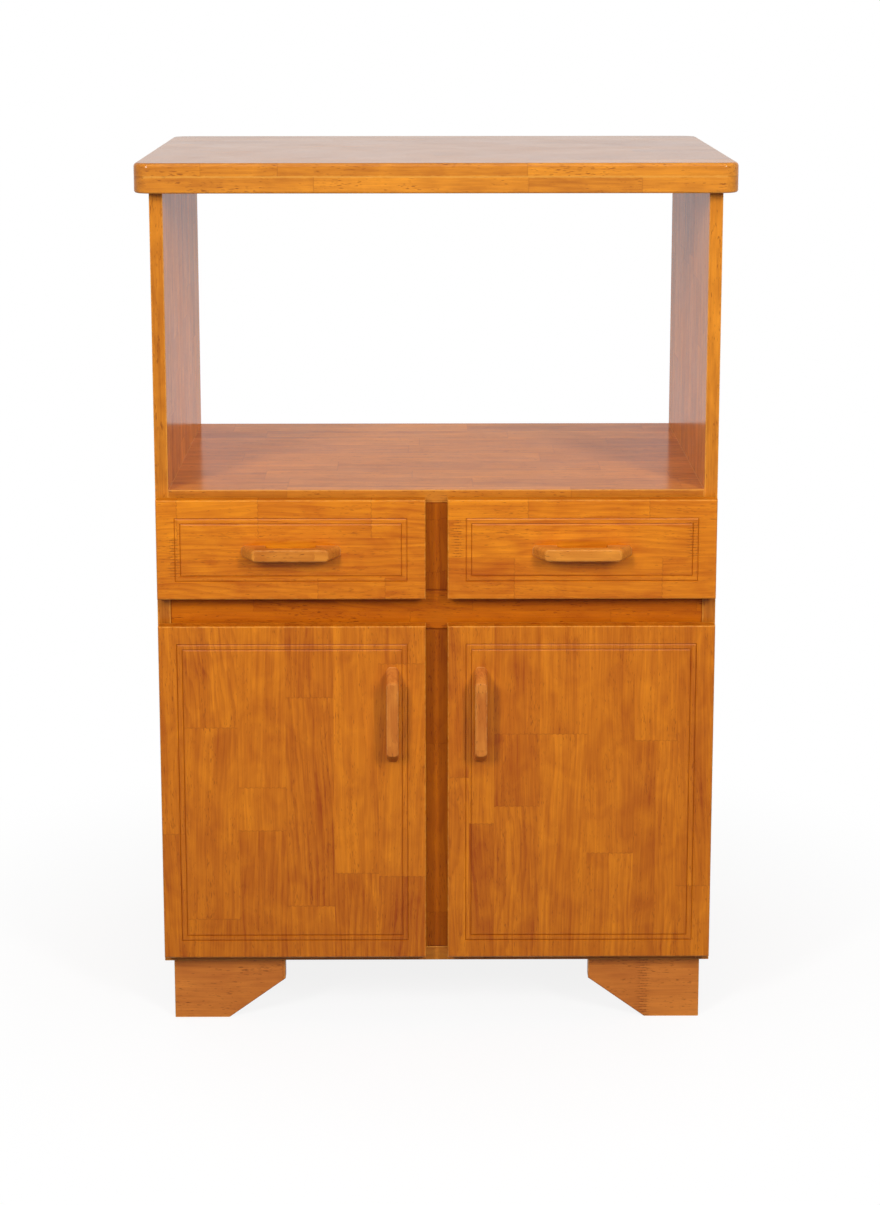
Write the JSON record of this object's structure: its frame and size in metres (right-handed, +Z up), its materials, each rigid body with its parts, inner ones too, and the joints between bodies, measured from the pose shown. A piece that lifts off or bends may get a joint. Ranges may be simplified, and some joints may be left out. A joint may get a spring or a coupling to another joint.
{
  "type": "microwave stand with drawers",
  "caption": "Free-standing wooden kitchen stand with a thick top over an open oven bay, drawers side by side, a cupboard with hinged doors, bow handles and bracket feet.",
  "frame": {"origin": "on the floor, at the middle of the stand's footprint with the drawer and door handles included", "axes": "+X to the right seen from the front, +Y from front to back, +Z up"},
  "size_m": [0.6, 0.4596, 0.9],
  "materials": {
    "top_wood": "gloss varnish over finger-jointed staves",
    "edging_wood": "gloss varnish",
    "frame_wood": "gloss varnish over finger-jointed staves",
    "foot_wood": "gloss varnish",
    "front_wood": "gloss varnish over finger-jointed staves",
    "handle_wood": "satin lacquer",
    "box_wood": "thin clear lacquer",
    "dowel_wood": "bare wood",
    "plywood": "thin clear lacquer",
    "runner_enamel": "baked enamel",
    "roller_plastic": "moulded",
    "hinge_steel": "nickel plated",
    "screw_steel": "zinc plated",
    "bumper_rubber": "clear, soft"
  },
  "bodies": {
    "root": {"back_panel": "plywood", "bottom_board": "frame_wood", "cabinet_runners": "runner_enamel", "door_stile": "frame_wood", "dowels": "dowel_wood", "drawer_partition": "frame_wood", "drawer_stile": "frame_wood", "foot_blocks": "foot_wood", "front_foot_left": "foot_wood", "front_foot_right": "foot_wood", "hinge_arms": "hinge_steel", "hinge_plate_screws": "screw_steel", "hinge_plates": "hinge_steel", "mid_rail": "frame_wood", "rear_foot_left": "foot_wood", "rear_foot_right": "foot_wood", "rear_rail": "frame_wood", "runner_battens": "frame_wood", "shelf_board": "frame_wood", "side_panel_left": "frame_wood", "side_panel_right": "frame_wood", "top_board": "top_wood", "top_edging_back": "edging_wood", "top_edging_front": "edging_wood", "top_edging_sides": "edging_wood"},
    "left_drawer": {"left_drawer_box_back": "box_wood", "left_drawer_box_bottom": "plywood", "left_drawer_box_front": "box_wood", "left_drawer_box_sides": "box_wood", "left_drawer_front": "front_wood", "left_drawer_handle": "handle_wood", "left_drawer_handle_screws": "screw_steel", "left_drawer_rails": "runner_enamel"},
    "right_drawer": {"right_drawer_box_back": "box_wood", "right_drawer_box_bottom": "plywood", "right_drawer_box_front": "box_wood", "right_drawer_box_sides": "box_wood", "right_drawer_front": "front_wood", "right_drawer_handle": "handle_wood", "right_drawer_handle_screws": "screw_steel", "right_drawer_rails": "runner_enamel"},
    "left_door": {"left_door_bumpers": "bumper_rubber", "left_door_cup_screws": "screw_steel", "left_door_handle": "handle_wood", "left_door_handle_screws": "screw_steel", "left_door_hinge_cups": "hinge_steel", "left_door_hinge_pins": "hinge_steel", "left_door_panel": "front_wood"},
    "right_door": {"right_door_bumpers": "bumper_rubber", "right_door_cup_screws": "screw_steel", "right_door_handle": "handle_wood", "right_door_handle_screws": "screw_steel", "right_door_hinge_cups": "hinge_steel", "right_door_hinge_pins": "hinge_steel", "right_door_panel": "front_wood"},
    "left_front_rollers": {"left_drawer_front_rollers": "roller_plastic"},
    "left_rear_rollers": {"left_drawer_rear_rollers": "roller_plastic"},
    "right_front_rollers": {"right_drawer_front_rollers": "roller_plastic"},
    "right_rear_rollers": {"right_drawer_rear_rollers": "roller_plastic"}
  },
  "joints": [
    {"name": "left_drawer_slide", "type": "slide", "parent": "root", "child": "left_drawer", "axis": [0, -1, 0], "range_m": [0, 0.26]},
    {"name": "left_door_hinge", "type": "hinge", "parent": "root", "child": "left_door", "pos_m": [-0.2785, -0.19975, 0.25155], "axis": [0, 0, -1], "range_deg": [0, 95]},
    {"name": "left_front_roller_spin", "type": "hinge", "parent": "root", "child": "left_front_rollers", "pos_m": [-0.14325, -0.16025, 0.4628], "axis": [1, 0, 0], "range_deg": [0, 1720]},
    {"name": "left_rear_roller_spin", "type": "hinge", "parent": "left_drawer", "child": "left_rear_rollers", "pos_m": [-0.14325, 0.14725, 0.4628], "axis": [1, 0, 0], "range_deg": [0, 1720]},
    {"name": "right_drawer_slide", "type": "slide", "parent": "root", "child": "right_drawer", "axis": [0, -1, 0], "range_m": [0, 0.26]},
    {"name": "right_door_hinge", "type": "hinge", "parent": "root", "child": "right_door", "pos_m": [0.2785, -0.19975, 0.25155], "axis": [0, 0, 1], "range_deg": [0, 95]},
    {"name": "right_front_roller_spin", "type": "hinge", "parent": "root", "child": "right_front_rollers", "pos_m": [0.14325, -0.16025, 0.4628], "axis": [1, 0, 0], "range_deg": [0, 1720]},
    {"name": "right_rear_roller_spin", "type": "hinge", "parent": "right_drawer", "child": "right_rear_rollers", "pos_m": [0.14325, 0.14725, 0.4628], "axis": [1, 0, 0], "range_deg": [0, 1720]}
  ],
  "couplings": [
    {"joint": "left_front_roller_spin", "follows": "left_drawer_slide", "rad_per_m": 114.94},
    {"joint": "left_rear_roller_spin", "follows": "left_drawer_slide", "rad_per_m": 114.94},
    {"joint": "right_front_roller_spin", "follows": "right_drawer_slide", "rad_per_m": 114.94},
    {"joint": "right_rear_roller_spin", "follows": "right_drawer_slide", "rad_per_m": 114.94}
  ]
}
